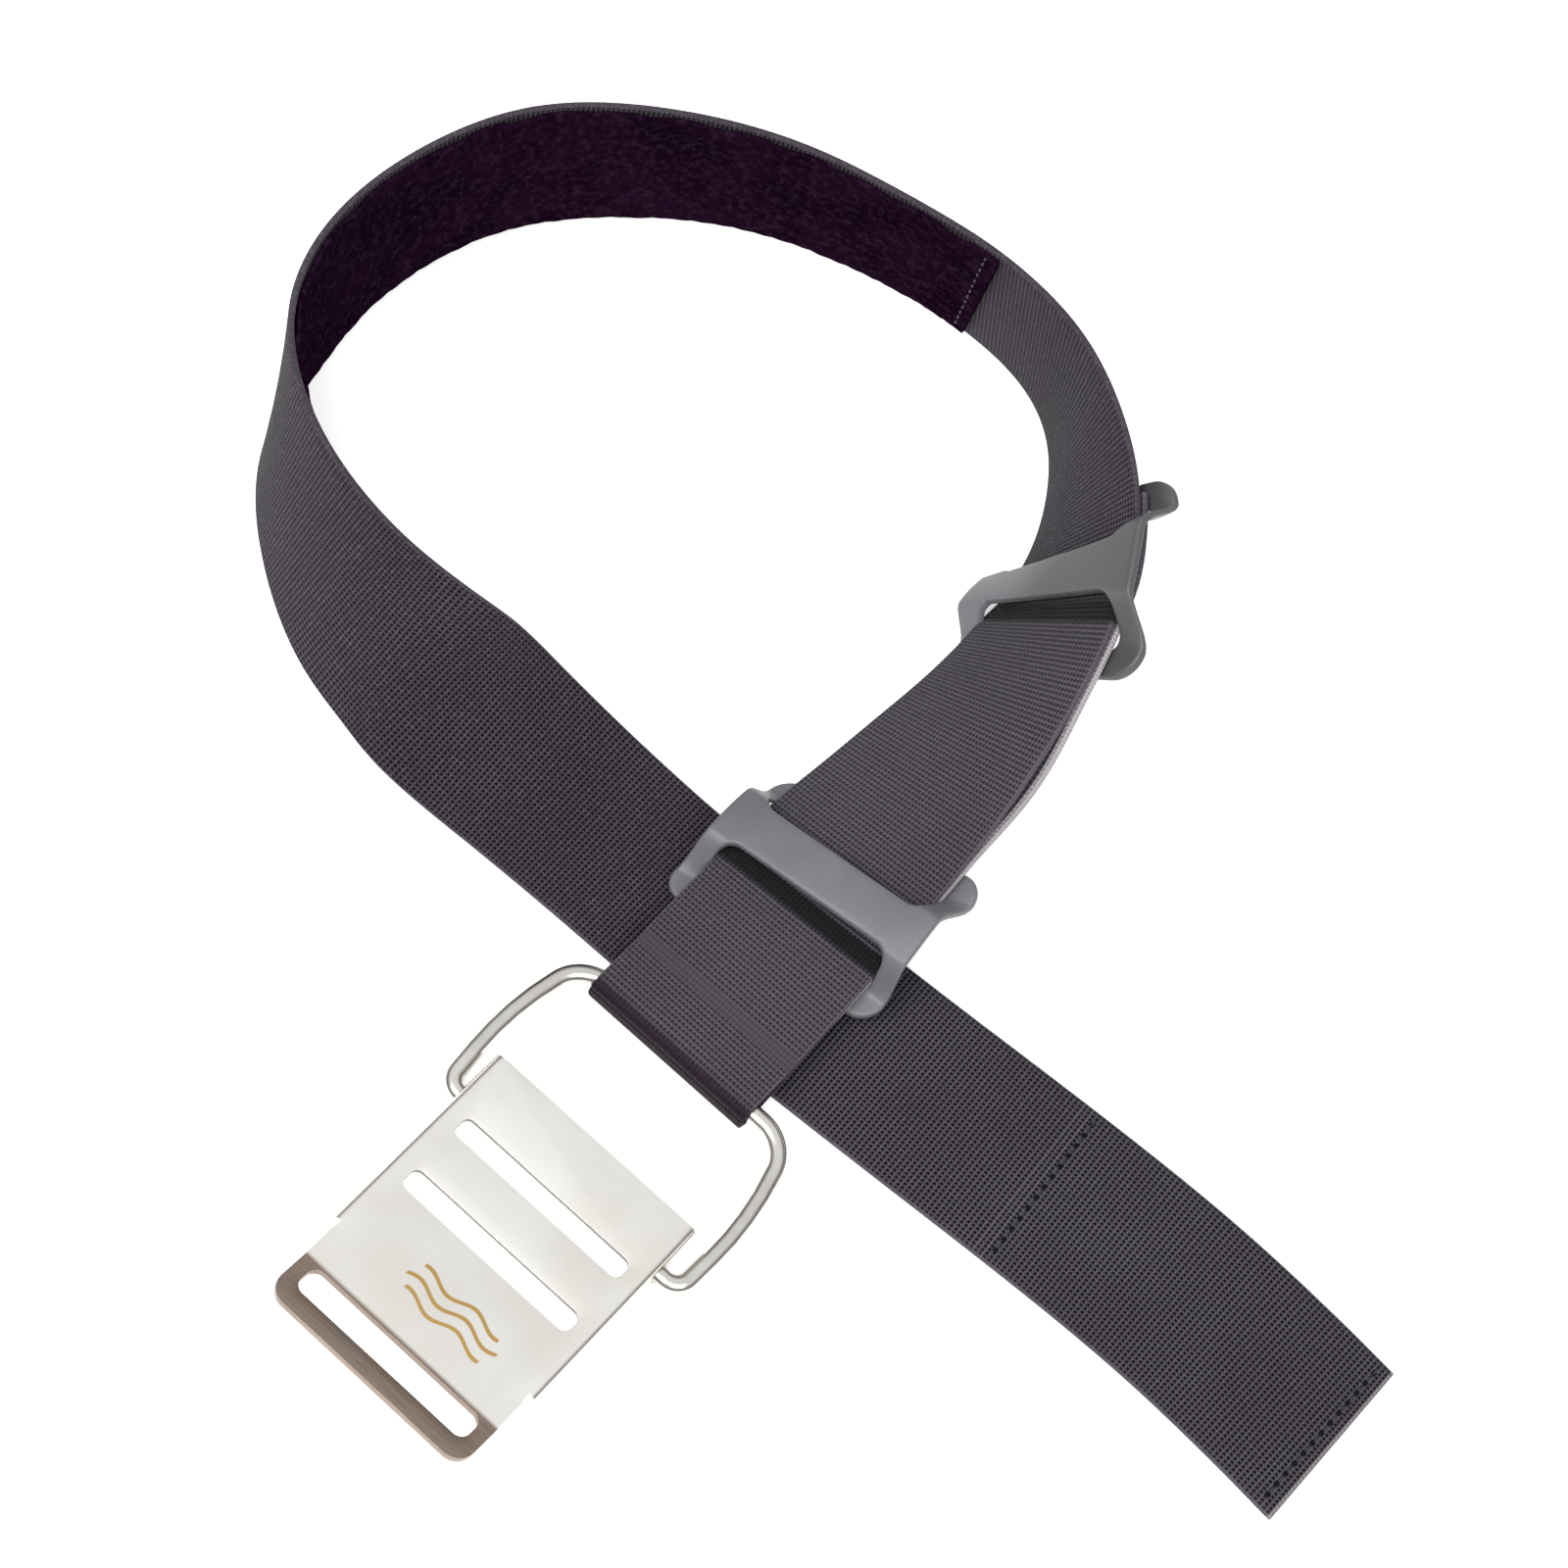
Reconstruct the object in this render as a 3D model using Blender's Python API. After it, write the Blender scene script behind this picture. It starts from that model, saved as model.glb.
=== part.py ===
"""Cylinder cam strap: 50 mm webbing closed into a loop, two moulded slides, a wire bail and a cam buckle.

Run with: blender --background --python part.py
The strap lies on the floor (z = 0) and stands on its edge along the back of the loop. Sizes are in metres.
"""

import math

import bmesh
import bpy
from mathutils import Vector

MM = 0.001

# Layout origin: the floor point below the middle of the whole strap's bounding box, in layout millimetres,
# and how far the layout is raised so that its lowest point rests on the floor.
ORIGIN_X = -14.5
ORIGIN_Y = 83.5
FLOOR_LIFT = 0.7

# Webbing: one length of 50 mm ribbed nylon.
WEB_WIDTH = 50.0
WEB_THICK = 1.8
LAYER_GAP = 0.35
SECTION_STEP = 6.0
SECTION_COLUMNS = 4
TAIL_LENGTH = 147.0

# Stations along the webbing's centre line, from the cut end of the tail to the fold at the bail:
# x, y, z in millimetres, and lean in degrees. Lean 0 has the outer face up, 90 stands the webbing
# on its edge, and 180 has the inner face up.
STRAP_STATIONS = (
    (177.5, 69.4, 2.7, 0),
    (139.0, 72.2, 2.7, 0),
    (100.5, 71.3, 2.75, 0),
    (62.0, 68.8, 2.5, 0),
    (24.0, 66.8, 1.0, 0),
    (-14.5, 65.0, 0.95, 0),
    (-53.0, 64.5, 1.3, 0),
    (-91.0, 62.4, 9.8, 20),
    (-110.3, 57.8, 18.2, 43),
    (-128.9, 56.9, 21.4, 54),
    (-146.9, 60.0, 23.6, 64),
    (-164.1, 66.4, 25.0, 73),
    (-180.4, 76.4, 25.5, 80),
    (-193.5, 90.8, 25.8, 88),
    (-201.0, 108.8, 25.8, 95),
    (-205.3, 128.0, 25.8, 95),
    (-205.3, 147.0, 25.8, 94),
    (-202.0, 166.3, 25.8, 93),
    (-195.0, 184.4, 25.8, 92),
    (-183.6, 200.0, 25.8, 90),
    (-169.8, 213.5, 25.9, 87),
    (-154.4, 224.9, 26.2, 84),
    (-137.0, 233.3, 26.9, 82),
    (-118.4, 238.4, 28.2, 80),
    (-99.5, 241.3, 30.2, 79),
    (-81.2, 242.2, 31.8, 80),
    (-62.7, 240.2, 33.0, 81),
    (-45.0, 233.0, 33.6, 87),
    (-30.0, 220.7, 32.4, 98),
    (-17.8, 205.2, 30.8, 111),
    (-10.5, 187.6, 29.0, 123),
    (-6.4, 169.1, 26.2, 132),
    (-4.2, 150.6, 22.7, 141),
    (-3.7, 132.0, 18.6, 151),
    (-3.7, 113.1, 15.0, 160),
    (-4.2, 94.3, 12.8, 170),
    (-3.8, 75.5, 11.2, 177),
    (-3.4, 57.0, 9.8, 180),
    (-3.2, 45.0, 9.0, 180),
    (-3.2, 33.5, 9.0, 180),
)

# Loop (pile) tape on the inner face round the back, hook tape under the tail, and their cross seams.
LOOP_TAPE_WIDTH = 47.0
LOOP_TAPE_THICK = 1.6
LOOP_TAPE_START = 330.0
LOOP_TAPE_END = 612.0
HOOK_TAPE_WIDTH = 46.0
HOOK_TAPE_THICK = 1.4
HOOK_TAPE_START = 1.0
HOOK_TAPE_END = 95.0
SEAM_INSET = 3.0
SEAM_WIDTH = 0.8
SEAM_THICK = 0.5
SEAM_LENGTH = 44.0

# Moulded three-bar slides, arched so that the middle bar passes over the webbing and the outer bars under it.
SLIDE_WIDTH = 63.0
SLIDE_LENGTH = 46.0
SLIDE_THICK = 2.6
SLIDE_CORNER = 6.0
SLIDE_WAIST = 2.0
SLIDE_MIDDLE_BAR = 14.0
SLIDE_OUTER_BAR = 6.0
SLIDE_SLOT_WIDTH = 52.0
SLIDE_SLOT_CORNER = 3.0
SLIDE_OVER = 2.0
SLIDE_UNDER = 0.9
FRONT_SLIDE_Y = 88.0
FRONT_SLIDE_SKEW = math.radians(6)
REAR_SLIDE_Y = 190.0
REAR_SLIDE_SKEW = math.radians(7)

# Wire bail: a trapezoid of 5 mm round wire whose ends turn inwards into the buckle's flanges.
BAIL_X = 0.8
BAIL_Z = 4.95
BAR_Y = 33.5
PIVOT_Y = -12.5
WIRE_RADIUS = 2.5
WIRE_CLEARANCE = 0.65
BAIL_END_X = 27.0
BAIL_FOOT_X = 37.2
BAIL_SIDE_Y = 13.0
BAIL_SIDE_X = 37.1
BAIL_TOP_X = 33.4
BAIL_SHIFT = -1.2

# Returned end of the webbing, below the upper layer: it closes in at the slides and gapes between them.
RETURN_GAP = 0.7
RETURN_GAPE = 2.6
RETURN_PAST_SLIDE = 19.0

# Cam buckle: 2 mm stainless plate, long edges bent down, far lip bent up, three slots across.
PLATE_WIDTH = 64.0
PLATE_LENGTH = 80.5
PLATE_THICK = 2.0
PLATE_TOP_Z = 10.2
PLATE_BEND = 2.4
PLATE_CORNER = 5.0
FLANGE_LENGTH = 56.0
FLANGE_FOOT_Z = 0.3
LIP_WIDTH = 60.0
LIP_START = 66.0
LIP_BEND = 9.0
LIP_ANGLE = math.radians(15)
SLOT_LENGTH = 52.5
SLOTS = ((19.5, 5.6), (37.2, 5.9), (71.6, 7.6))
PIVOT_CLEARANCE = 0.3


def place(x, y, z):
    """A point of the layout, in millimetres, as a point of the part's frame, in metres."""
    return Vector(((x - ORIGIN_X) * MM, (y - ORIGIN_Y) * MM, (z + FLOOR_LIFT) * MM))


# The strap's curve


def blend_stations(position):
    """The station values at a fractional station number, on a Catmull-Rom curve."""
    last = len(STRAP_STATIONS) - 1
    first = min(int(position), last - 1)
    t = position - first
    picks = [STRAP_STATIONS[min(max(first + k, 0), last)] for k in (-1, 0, 1, 2)]
    return [
        0.5 * (2 * b + (c - a) * t + (2 * a - 5 * b + 4 * c - d) * t**2 + (3 * b - a - 3 * c + d) * t**3)
        for a, b, c, d in zip(*picks)
    ]


def measure_strap():
    """Stations read finely along the curve, each with its distance from the tail's cut end."""
    fine = 20
    rows = []
    distance = 0.0
    for k in range((len(STRAP_STATIONS) - 1) * fine + 1):
        values = blend_stations(k / fine)
        if rows:
            distance += (Vector(values[:3]) - Vector(rows[-1][1][:3])).length
        rows.append((distance, values))
    return rows


STRAP_ROWS = measure_strap()
STRAP_LENGTH = STRAP_ROWS[-1][0]


def strap_values(distance):
    """Centre and lean at a distance along the strap."""
    distance = min(max(distance, 0.0), STRAP_LENGTH)
    for (start, low), (end, high) in zip(STRAP_ROWS, STRAP_ROWS[1:]):
        if distance <= end:
            t = (distance - start) / (end - start)
            return [a + (b - a) * t for a, b in zip(low, high)]
    return list(STRAP_ROWS[-1][1])


def strap_frame(distance):
    """Centre, direction along, direction across and inner-face normal at a distance along the strap."""
    values = strap_values(distance)
    reach = 2.0
    along = Vector(strap_values(distance + reach)[:3]) - Vector(strap_values(distance - reach)[:3])
    along.normalize()
    level = along.cross(Vector((0, 0, 1))).normalized()
    lean = math.radians(values[3])
    across = math.cos(lean) * level + math.sin(lean) * level.cross(along)
    return Vector(values[:3]), along, across, along.cross(across)


def distance_at_y(y):
    """Distance along the strap where its last stretch, towards the bail, crosses the given y."""
    for distance, values in reversed(STRAP_ROWS):
        if values[1] >= y:
            return distance
    return STRAP_LENGTH


def steps_between(start, end):
    """Both distances, and the shared section places between them, so that parallel layers bend alike."""
    low, high = min(start, end), max(start, end)
    first = math.floor(low / SECTION_STEP) + 1
    shared = [k * SECTION_STEP for k in range(first, math.ceil(high / SECTION_STEP))]
    places = [low] + [place for place in shared if low + 0.2 < place < high - 0.2] + [high]
    return places if start < end else places[::-1]


# Mesh helpers


def material(name, colour, roughness, metallic=0.0):
    made = bpy.data.materials.new(name)
    made.use_nodes = True
    shader = made.node_tree.nodes["Principled BSDF"]
    shader.inputs["Base Color"].default_value = (*colour, 1.0)
    shader.inputs["Roughness"].default_value = roughness
    shader.inputs["Metallic"].default_value = metallic
    return made


def add_object(name, bm, finish, origin):
    """Makes the object, with its origin at a layout point, from a bmesh in the part's frame."""
    bmesh.ops.recalc_face_normals(bm, faces=bm.faces)
    if bm.calc_volume(signed=True) < 0:
        bmesh.ops.reverse_faces(bm, faces=bm.faces)
    at = place(*origin)
    bmesh.ops.translate(bm, verts=bm.verts, vec=-at)
    mesh = bpy.data.meshes.new(name)
    bm.to_mesh(mesh)
    bm.free()
    mesh.materials.append(finish)
    mesh.shade_smooth()
    mesh.set_sharp_from_angle(angle=math.radians(35))
    made = bpy.data.objects.new(name, mesh)
    made.location = at
    bpy.context.scene.collection.objects.link(made)
    return made


def section(centre, across, normal, width, thickness):
    """Lower and upper row of points across a flat section about its centre."""
    rise = normal * thickness / 2
    places = [centre + across * width * (k / SECTION_COLUMNS - 0.5) for k in range(SECTION_COLUMNS + 1)]
    return [point - rise for point in places], [point + rise for point in places]


def loft(sections):
    """A closed solid through flat sections, each split along the same diagonals so that layers stay parallel."""
    bm = bmesh.new()
    rows = [[[bm.verts.new(place(*point)) for point in row] for row in pair] for pair in sections]
    for (low, high), (next_low, next_high) in zip(rows, rows[1:]):
        for k in range(SECTION_COLUMNS):
            for near, far in ((low, next_low), (high, next_high)):
                bm.faces.new((near[k], near[k + 1], far[k + 1]))
                bm.faces.new((near[k], far[k + 1], far[k]))
        for end in (0, -1):
            bm.faces.new((low[end], next_low[end], next_high[end], high[end]))
    for low, high in (rows[0], rows[-1]):
        bm.faces.new(low + high[::-1])
    return bm


def ribbon(start, end, width, thickness, lift):
    """A ribbon that follows the strap between two distances, its middle lifted off the webbing's middle."""
    sections = []
    for distance in steps_between(start, end):
        centre, _, across, inward = strap_frame(distance)
        sections.append(section(centre + inward * lift, across, inward, width, thickness))
    return loft(sections)


def rounded_outline(corners):
    """Points round a polygon of (x, y, radius) corners, with each corner an arc."""
    points = []
    count = len(corners)
    for k in range(count):
        x, y, radius = corners[k]
        here = Vector((x, y))
        before = (Vector(corners[k - 1][:2]) - here).normalized()
        after = (Vector(corners[(k + 1) % count][:2]) - here).normalized()
        if not radius:
            points.append(here)
            continue
        half = before.angle(after) / 2
        centre = here + (before + after).normalized() * radius / math.sin(half)
        start = here + before * radius / math.tan(half) - centre
        turn = start.angle_signed(here + after * radius / math.tan(half) - centre)
        pieces = max(3, math.ceil(abs(turn) / math.radians(20)))
        for step in range(pieces + 1):
            angle = -turn * step / pieces
            cosine, sine = math.cos(angle), math.sin(angle)
            spun = Vector((start.x * cosine - start.y * sine, start.x * sine + start.y * cosine))
            points.append(centre + spun)
    return points


def rectangle(x, y, width, height, radius):
    """Rounded rectangle outline about a centre."""
    w, h = width / 2, height / 2
    return rounded_outline(
        [(x - w, y - h, radius), (x + w, y - h, radius), (x + w, y + h, radius), (x - w, y + h, radius)]
    )


def circle(x, y, radius, sides):
    return [
        Vector((x + radius * math.cos(2 * math.pi * k / sides), y + radius * math.sin(2 * math.pi * k / sides)))
        for k in range(sides)
    ]


def flat_blank(outlines, thickness, cuts_x, cuts_y):
    """A flat plate in layout millimetres, top face at z = 0, cut along lines so that it can be bent."""
    bm = bmesh.new()
    edges = []
    for outline in outlines:
        verts = [bm.verts.new((point.x, point.y, 0)) for point in outline]
        edges += [bm.edges.new(pair) for pair in zip(verts, verts[1:] + verts[:1])]
    bmesh.ops.triangle_fill(bm, edges=edges, use_beauty=True, use_dissolve=False)
    grown = bmesh.ops.extrude_face_region(bm, geom=bm.faces[:])
    lower = [item for item in grown["geom"] if isinstance(item, bmesh.types.BMVert)]
    bmesh.ops.translate(bm, verts=lower, vec=(0, 0, -thickness))
    for axis, cuts in ((Vector((1, 0, 0)), cuts_x), (Vector((0, 1, 0)), cuts_y)):
        for cut in cuts:
            every = bm.verts[:] + bm.edges[:] + bm.faces[:]
            bmesh.ops.bisect_plane(bm, geom=every, dist=1e-4, plane_co=axis * cut, plane_no=axis)
    return bm


# Pieces


def make_webbing(finish):
    """The single length of webbing, in three solids: the loose tail, the band and the folded buckle end."""
    for name, start, end in (
        ("webbing_tail", 0.0, TAIL_LENGTH),
        ("webbing_band", TAIL_LENGTH + LAYER_GAP, distance_at_y(FRONT_SLIDE_Y)),
    ):
        middle = strap_frame((start + end) / 2)[0]
        origin = tail_hinge_point() if name == "webbing_tail" else tuple(middle)
        add_object(name, ribbon(start, end, WEB_WIDTH, WEB_THICK, 0.0), finish, origin)
    add_object("webbing_buckle_end", loft(buckle_end_sections()), finish, (strap_x(), BAR_Y, BAIL_Z))


def strap_x():
    return STRAP_STATIONS[-1][0]


def tail_hinge_point():
    """Top of the gap between tail and band, where the tail hinges up."""
    centre = strap_frame(TAIL_LENGTH + LAYER_GAP / 2)[0]
    return (centre.x, centre.y, centre.z + WEB_THICK / 2)


def buckle_end_sections():
    """Upper layer from the front slide to the bail, the fold round the bail, and the returned lower layer."""
    sections = []
    top_start = distance_at_y(FRONT_SLIDE_Y) + LAYER_GAP
    for distance in steps_between(top_start, STRAP_LENGTH):
        centre, _, across, inward = strap_frame(distance)
        sections.append(section(centre, across, inward, WEB_WIDTH, WEB_THICK))
    across = Vector((1, 0, 0))
    radius = WIRE_RADIUS + WIRE_CLEARANCE + WEB_THICK / 2
    fold_steps = 10
    for k in range(1, fold_steps + 1):
        angle = math.pi * k / fold_steps
        outward = Vector((0, -math.sin(angle), math.cos(angle)))
        centre = Vector((strap_x(), BAR_Y, BAIL_Z)) + outward * radius
        sections.append(section(centre, across, outward, WEB_WIDTH, WEB_THICK))
    return sections + returned_sections(radius)


def returned_sections(fold_radius):
    """The returned layer, from under the bail up to the front slide and on past the rear slide."""
    sections = []
    across = Vector((1, 0, 0))
    lower = Vector((0, BAR_Y, BAIL_Z - fold_radius))
    join_y = 62.0
    join = strap_frame(distance_at_y(join_y))[0].z - WEB_THICK - RETURN_GAP
    rise_steps = 5
    for k in range(1, rise_steps + 1):
        t = k / rise_steps
        y = lower.y + (join_y - lower.y) * t
        z = lower.z + (join - lower.z) * math.sin(math.pi / 2 * t)
        slope = (join - lower.z) * math.pi / 2 * math.cos(math.pi / 2 * t) / (join_y - lower.y)
        down = Vector((0, slope, -1)).normalized()
        sections.append(section(Vector((strap_x(), y, z)), across, down, WEB_WIDTH, WEB_THICK))
    start = distance_at_y(join_y)
    end = distance_at_y(REAR_SLIDE_Y) - RETURN_PAST_SLIDE
    for distance in steps_between(start, end)[1:]:
        centre, _, across, inward = strap_frame(distance)
        drop = WEB_THICK + RETURN_GAP + RETURN_GAPE * gape(distance)
        sections.append(section(centre - inward * drop, across, -inward, WEB_WIDTH, WEB_THICK))
    return sections


def gape(distance):
    """0 inside and beyond the slides, rising to 1 half way between them."""
    reach = SLIDE_LENGTH / 2 + 2
    front = distance_at_y(FRONT_SLIDE_Y) - reach
    rear = distance_at_y(REAR_SLIDE_Y) + reach
    t = (distance - rear) / (front - rear)
    return math.sin(math.pi * t) ** 2 if 0 < t < 1 else 0.0


def make_tapes(pile_finish, hook_finish, thread_finish):
    """Loop and hook tape on the inner face, and the seams across their ends."""
    loop_lift = WEB_THICK / 2 + LAYER_GAP + LOOP_TAPE_THICK / 2
    hook_lift = WEB_THICK / 2 + LAYER_GAP + HOOK_TAPE_THICK / 2
    seam_above_loop = WEB_THICK / 2 + 2 * LAYER_GAP + LOOP_TAPE_THICK + SEAM_THICK / 2
    seam_above_web = -(WEB_THICK / 2 + LAYER_GAP + SEAM_THICK / 2)
    add_object(
        "loop_tape",
        ribbon(LOOP_TAPE_START, LOOP_TAPE_END, LOOP_TAPE_WIDTH, LOOP_TAPE_THICK, loop_lift),
        pile_finish,
        strap_frame((LOOP_TAPE_START + LOOP_TAPE_END) / 2)[0],
    )
    add_object(
        "hook_tape",
        ribbon(HOOK_TAPE_START, HOOK_TAPE_END, HOOK_TAPE_WIDTH, HOOK_TAPE_THICK, hook_lift),
        hook_finish,
        tail_hinge_point(),
    )
    for name, distance, lift in (
        ("hook_tape_end_seam", HOOK_TAPE_START + SEAM_INSET, seam_above_web),
        ("hook_tape_inner_seam", HOOK_TAPE_END - SEAM_INSET, seam_above_web),
        ("loop_tape_front_seam", LOOP_TAPE_START + SEAM_INSET, seam_above_loop),
        ("loop_tape_rear_seam", LOOP_TAPE_END - SEAM_INSET, seam_above_loop),
    ):
        half = SEAM_WIDTH / 2
        seam = ribbon(distance - half, distance + half, SEAM_LENGTH, SEAM_THICK, lift)
        origin = tail_hinge_point() if name.startswith("hook") else strap_frame(distance)[0]
        add_object(name, seam, thread_finish, origin)


def slide_outline():
    """Rounded rectangle with its two short sides drawn in at the middle."""
    w, h = SLIDE_WIDTH / 2, SLIDE_LENGTH / 2
    waist = w - SLIDE_WAIST
    return rounded_outline(
        [(-w, -h, SLIDE_CORNER), (w, -h, SLIDE_CORNER)]
        + [(waist, -h / 3, 14), (waist, h / 3, 14)]
        + [(w, h, SLIDE_CORNER), (-w, h, SLIDE_CORNER)]
        + [(-waist, h / 3, 14), (-waist, -h / 3, 14)]
    )


def make_slide(name, y, skew, finish):
    """A flat moulding with two slots, arched, then laid along the strap so that it follows its twist."""
    slot_depth = (SLIDE_LENGTH - SLIDE_MIDDLE_BAR) / 2 - SLIDE_OUTER_BAR
    slot_centre = SLIDE_MIDDLE_BAR / 2 + slot_depth / 2
    slots = [
        rectangle(0, side * slot_centre, SLIDE_SLOT_WIDTH, slot_depth, SLIDE_SLOT_CORNER) for side in (-1, 1)
    ]
    half = SLIDE_LENGTH / 2
    cuts = [k * half / 8 for k in range(-7, 8)]
    bm = flat_blank([slide_outline()] + slots, SLIDE_THICK, [], cuts)
    over = WEB_THICK / 2 + SLIDE_OVER + SLIDE_THICK
    under = -(WEB_THICK * 1.5 + RETURN_GAP + SLIDE_UNDER)
    middle = distance_at_y(y)
    for vert in bm.verts:
        u, v, h = vert.co
        out = min(1.0, max(0.0, (abs(v) - SLIDE_MIDDLE_BAR / 2) / slot_depth))
        bow = 0.5 + 0.5 * math.cos(math.pi * out)
        centre, _, across, inward = strap_frame(middle + v - u * math.tan(skew))
        vert.co = place(*(centre + across * u + inward * (under + (over - under) * bow + h)))
    return add_object(name, bm, finish, strap_frame(middle)[0])


def bail_path():
    """Centre line of the bail, from one inward end round to the other; the bar end sits a little to one side."""
    right = [
        (BAIL_END_X, PIVOT_Y, 0),
        (BAIL_FOOT_X, PIVOT_Y, 4.4),
        (BAIL_SIDE_X, BAIL_SIDE_Y, 45),
        (BAIL_TOP_X, BAR_Y, 8.5),
    ]
    left = [(-x, y, radius) for x, y, radius in reversed(right)]
    line = rounded_outline(right + [(left[0][0], BAR_Y, 7.5)] + left[1:])
    reach = BAR_Y - PIVOT_Y
    return [Vector((point.x + BAIL_SHIFT * (point.y - PIVOT_Y) / reach, point.y)) for point in line]


def make_bail(finish):
    """Round wire along the bail's path, pivoting on the bar that lies in the webbing's fold."""
    curve = bpy.data.curves.new("wire_bail", "CURVE")
    curve.dimensions = "3D"
    curve.bevel_depth = WIRE_RADIUS * MM
    curve.bevel_resolution = 3
    curve.use_fill_caps = True
    points = bail_path()
    spline = curve.splines.new("POLY")
    spline.points.add(len(points) - 1)
    for target, point in zip(spline.points, points):
        target.co = (point.x * MM, (point.y - BAR_Y) * MM, 0.0, 1.0)
    curve.materials.append(finish)
    made = bpy.data.objects.new("wire_bail", curve)
    made.location = place(BAIL_X, BAR_Y, BAIL_Z)
    bpy.context.scene.collection.objects.link(made)


def bent_plate_point(x, y, h):
    """Where a point of the flat blank goes once the flanges are bent down and the lip is bent up."""
    fold_x = PLATE_WIDTH / 2 - PLATE_BEND
    side = math.copysign(1, x)
    past = abs(x) - fold_x
    z = PLATE_TOP_Z + h
    if past > 0 and y > -FLANGE_LENGTH - 0.01:
        arc = PLATE_BEND * math.pi / 2
        angle = min(past, arc) / PLATE_BEND
        x = side * (fold_x + (PLATE_BEND + h) * math.sin(angle))
        z = PLATE_TOP_Z - PLATE_BEND + (PLATE_BEND + h) * math.cos(angle) - max(0.0, past - arc)
    past_lip = -y - LIP_START
    if past_lip > 0:
        angle = min(past_lip / LIP_BEND, LIP_ANGLE)
        beyond = past_lip - angle * LIP_BEND
        y = -LIP_START - (LIP_BEND - h) * math.sin(angle) - beyond * math.cos(angle)
        z = PLATE_TOP_Z + LIP_BEND - (LIP_BEND - h) * math.cos(angle) + beyond * math.sin(angle)
    return x, y, z


def make_buckle(finish):
    """The cam buckle: blanked with its slots and pivot holes, then bent."""
    fold_x = PLATE_WIDTH / 2 - PLATE_BEND
    arc = PLATE_BEND * math.pi / 2
    blank_x = fold_x + arc + PLATE_TOP_Z - PLATE_BEND - FLANGE_FOOT_Z
    hole_x = fold_x + arc + PLATE_TOP_Z - PLATE_BEND - BAIL_Z
    lip_x = LIP_WIDTH / 2
    notch = 1.5
    outline = rounded_outline(
        [(-blank_x, 0, 2.5), (-blank_x, -FLANGE_LENGTH, 2.5)]
        + [(-fold_x, -FLANGE_LENGTH, 0), (-fold_x, -FLANGE_LENGTH - notch, 0)]
        + [(-lip_x, -FLANGE_LENGTH - 2 * notch, 0), (-lip_x, -PLATE_LENGTH, PLATE_CORNER)]
        + [(lip_x, -PLATE_LENGTH, PLATE_CORNER), (lip_x, -FLANGE_LENGTH - 2 * notch, 0)]
        + [(fold_x, -FLANGE_LENGTH - notch, 0), (fold_x, -FLANGE_LENGTH, 0)]
        + [(blank_x, -FLANGE_LENGTH, 2.5), (blank_x, 0, 2.5)]
    )
    slots = [rectangle(0, -y, SLOT_LENGTH, width, width / 2 - 0.2) for y, width in SLOTS]
    holes = [circle(side * hole_x, PIVOT_Y, WIRE_RADIUS + PIVOT_CLEARANCE, 20) for side in (-1, 1)]
    bends = [side * (fold_x + arc * k / 5) for side in (-1, 1) for k in range(6)]
    lips = [-LIP_START - LIP_BEND * LIP_ANGLE * k / 3 for k in range(4)]
    bm = flat_blank([outline] + slots + holes, PLATE_THICK, bends, lips)
    for vert in bm.verts:
        vert.co = place(*bent_plate_point(*vert.co))
    add_object("cam_buckle", bm, finish, (0, PIVOT_Y, BAIL_Z))


def build():
    for old in list(bpy.data.objects):
        bpy.data.objects.remove(old)
    webbing = material("webbing", (0.055, 0.05, 0.06), 0.75)
    pile = material("pile", (0.02, 0.015, 0.024), 0.95)
    hooks = material("hooks", (0.03, 0.03, 0.03), 0.7)
    thread = material("thread", (0.04, 0.038, 0.045), 0.6)
    moulding = material("moulding", (0.12, 0.12, 0.125), 0.5)
    steel = material("steel", (0.72, 0.71, 0.69), 0.28, 1.0)
    make_webbing(webbing)
    make_tapes(pile, hooks, thread)
    make_slide("front_slide", FRONT_SLIDE_Y, FRONT_SLIDE_SKEW, moulding)
    make_slide("rear_slide", REAR_SLIDE_Y, REAR_SLIDE_SKEW, moulding)
    make_bail(steel)
    make_buckle(steel)


build()
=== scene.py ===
import bisect
import math

import bmesh
import bpy
from mathutils import Matrix, Vector


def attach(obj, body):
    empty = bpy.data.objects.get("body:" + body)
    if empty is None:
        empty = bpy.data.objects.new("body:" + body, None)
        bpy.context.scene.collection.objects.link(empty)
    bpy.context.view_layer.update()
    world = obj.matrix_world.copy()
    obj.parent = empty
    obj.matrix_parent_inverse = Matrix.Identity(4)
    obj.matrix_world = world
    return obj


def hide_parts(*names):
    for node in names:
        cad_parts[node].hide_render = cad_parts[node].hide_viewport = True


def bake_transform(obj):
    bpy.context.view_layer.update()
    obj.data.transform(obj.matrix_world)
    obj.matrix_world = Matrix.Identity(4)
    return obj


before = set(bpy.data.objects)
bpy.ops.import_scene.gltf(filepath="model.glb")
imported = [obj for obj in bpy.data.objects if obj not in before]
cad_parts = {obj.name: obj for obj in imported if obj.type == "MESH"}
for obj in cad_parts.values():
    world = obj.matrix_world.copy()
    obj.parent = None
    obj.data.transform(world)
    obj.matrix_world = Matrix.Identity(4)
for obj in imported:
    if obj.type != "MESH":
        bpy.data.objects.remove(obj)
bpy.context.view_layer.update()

# ---------------------------------------------------------------------------------------------
# The webbing: one length of 50 mm ribbed nylon, heat-cut at both ends. It runs from the loose tail
# round the loop with half a twist, through both slides, round the bail's bar and back under itself.

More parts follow.
